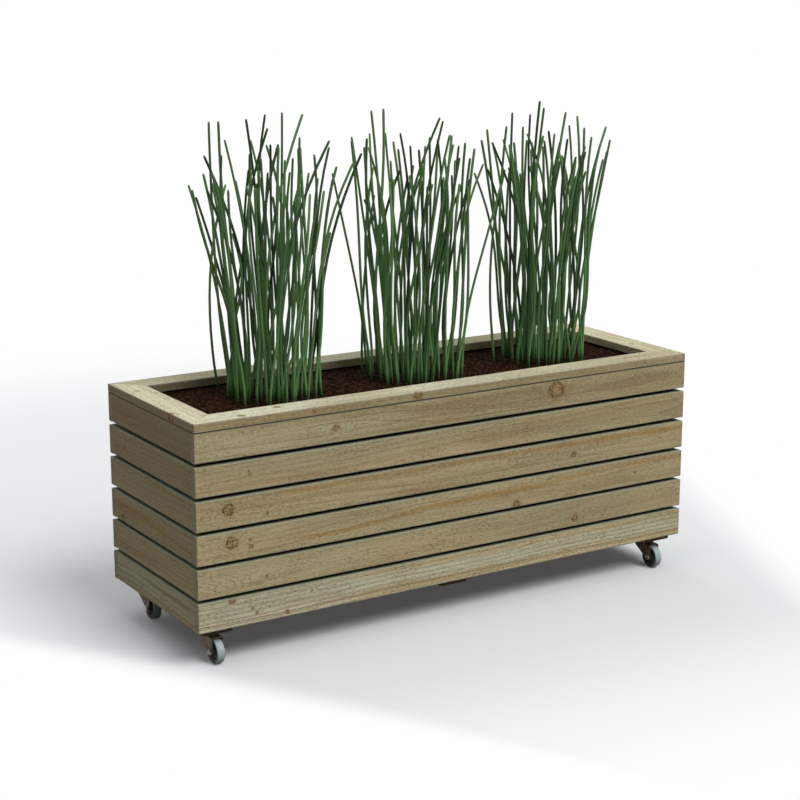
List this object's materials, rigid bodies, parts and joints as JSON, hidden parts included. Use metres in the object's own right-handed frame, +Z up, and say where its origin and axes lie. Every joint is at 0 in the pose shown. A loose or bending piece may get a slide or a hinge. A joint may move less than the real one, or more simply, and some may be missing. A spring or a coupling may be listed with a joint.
{
  "type": "rolling planter",
  "caption": "Long slatted timber planter with a flat mitred rim, filled with compost and rush clumps, rolling on swivel casters.",
  "frame": {"origin": "middle of the planter's plan, on the floor that the wheels stand on", "axes": "+X along the trough to the right, +Y from the front to the back, +Z up"},
  "size_m": [1.2, 0.4, 1.0489],
  "materials": {
    "slat_timber": "matte",
    "side_timber": "matte",
    "rim_timber": "matte",
    "floor_timber": "matte",
    "stained_timber": "matte",
    "liner_sheet": "matte",
    "compost": "matte",
    "rush_stems": "satin",
    "screw_steel": "satin",
    "caster_steel": "satin",
    "axle_steel": "polished",
    "wheel_rubber": "matte"
  },
  "bodies": {
    "planter": {"front_slat_1": "slat_timber", "front_slat_2": "slat_timber", "front_slat_3": "slat_timber", "front_slat_4": "slat_timber", "front_slat_5": "slat_timber", "front_slat_6": "slat_timber", "back_slat_1": "slat_timber", "back_slat_2": "slat_timber", "back_slat_3": "slat_timber", "back_slat_4": "slat_timber", "back_slat_5": "slat_timber", "back_slat_6": "slat_timber", "left_slat_1": "side_timber", "left_slat_2": "side_timber", "left_slat_3": "side_timber", "left_slat_4": "side_timber", "left_slat_5": "side_timber", "left_slat_6": "side_timber", "right_slat_1": "side_timber", "right_slat_2": "side_timber", "right_slat_3": "side_timber", "right_slat_4": "side_timber", "right_slat_5": "side_timber", "right_slat_6": "side_timber", "front_rim_board": "rim_timber", "back_rim_board": "rim_timber", "left_rim_board": "rim_timber", "right_rim_board": "rim_timber", "front_left_post": "stained_timber", "front_right_post": "stained_timber", "back_left_post": "stained_timber", "back_right_post": "stained_timber", "middle_posts": "stained_timber", "left_bearer": "stained_timber", "middle_bearer": "stained_timber", "right_bearer": "stained_timber", "floor_boards": "floor_timber", "liner": "liner_sheet", "soil": "compost", "left_rush_clump": "rush_stems", "middle_rush_clump": "rush_stems", "right_rush_clump": "rush_stems", "slat_screws": "screw_steel", "caster_screws": "screw_steel", "front_left_caster_plate": "caster_steel", "front_right_caster_plate": "caster_steel", "back_left_caster_plate": "caster_steel", "back_right_caster_plate": "caster_steel"},
    "front_left_swivel": {"front_left_caster_fork": "caster_steel", "front_left_caster_axle": "axle_steel"},
    "front_left_wheel": {"front_left_caster_wheel": "wheel_rubber"},
    "front_right_swivel": {"front_right_caster_fork": "caster_steel", "front_right_caster_axle": "axle_steel"},
    "front_right_wheel": {"front_right_caster_wheel": "wheel_rubber"},
    "back_left_swivel": {"back_left_caster_fork": "caster_steel", "back_left_caster_axle": "axle_steel"},
    "back_left_wheel": {"back_left_caster_wheel": "wheel_rubber"},
    "back_right_swivel": {"back_right_caster_fork": "caster_steel", "back_right_caster_axle": "axle_steel"},
    "back_right_wheel": {"back_right_caster_wheel": "wheel_rubber"}
  },
  "joints": [
    {"name": "front_left_swivel", "type": "hinge", "parent": "planter", "child": "front_left_swivel", "pos_m": [-0.55, -0.146, 0.0584], "axis": [0, 0, 1], "continuous": true},
    {"name": "front_left_roll", "type": "hinge", "parent": "front_left_swivel", "child": "front_left_wheel", "pos_m": [-0.55, -0.17, 0.025], "axis": [1, 0, 0], "continuous": true},
    {"name": "front_right_swivel", "type": "hinge", "parent": "planter", "child": "front_right_swivel", "pos_m": [0.55, -0.146, 0.0584], "axis": [0, 0, 1], "continuous": true},
    {"name": "front_right_roll", "type": "hinge", "parent": "front_right_swivel", "child": "front_right_wheel", "pos_m": [0.55, -0.17, 0.025], "axis": [1, 0, 0], "continuous": true},
    {"name": "back_left_swivel", "type": "hinge", "parent": "planter", "child": "back_left_swivel", "pos_m": [-0.55, 0.146, 0.0584], "axis": [0, 0, 1], "continuous": true},
    {"name": "back_left_roll", "type": "hinge", "parent": "back_left_swivel", "child": "back_left_wheel", "pos_m": [-0.55, 0.122, 0.025], "axis": [1, 0, 0], "continuous": true},
    {"name": "back_right_swivel", "type": "hinge", "parent": "planter", "child": "back_right_swivel", "pos_m": [0.55, 0.146, 0.0584], "axis": [0, 0, 1], "continuous": true},
    {"name": "back_right_roll", "type": "hinge", "parent": "back_right_swivel", "child": "back_right_wheel", "pos_m": [0.55, 0.122, 0.025], "axis": [1, 0, 0], "continuous": true}
  ]
}
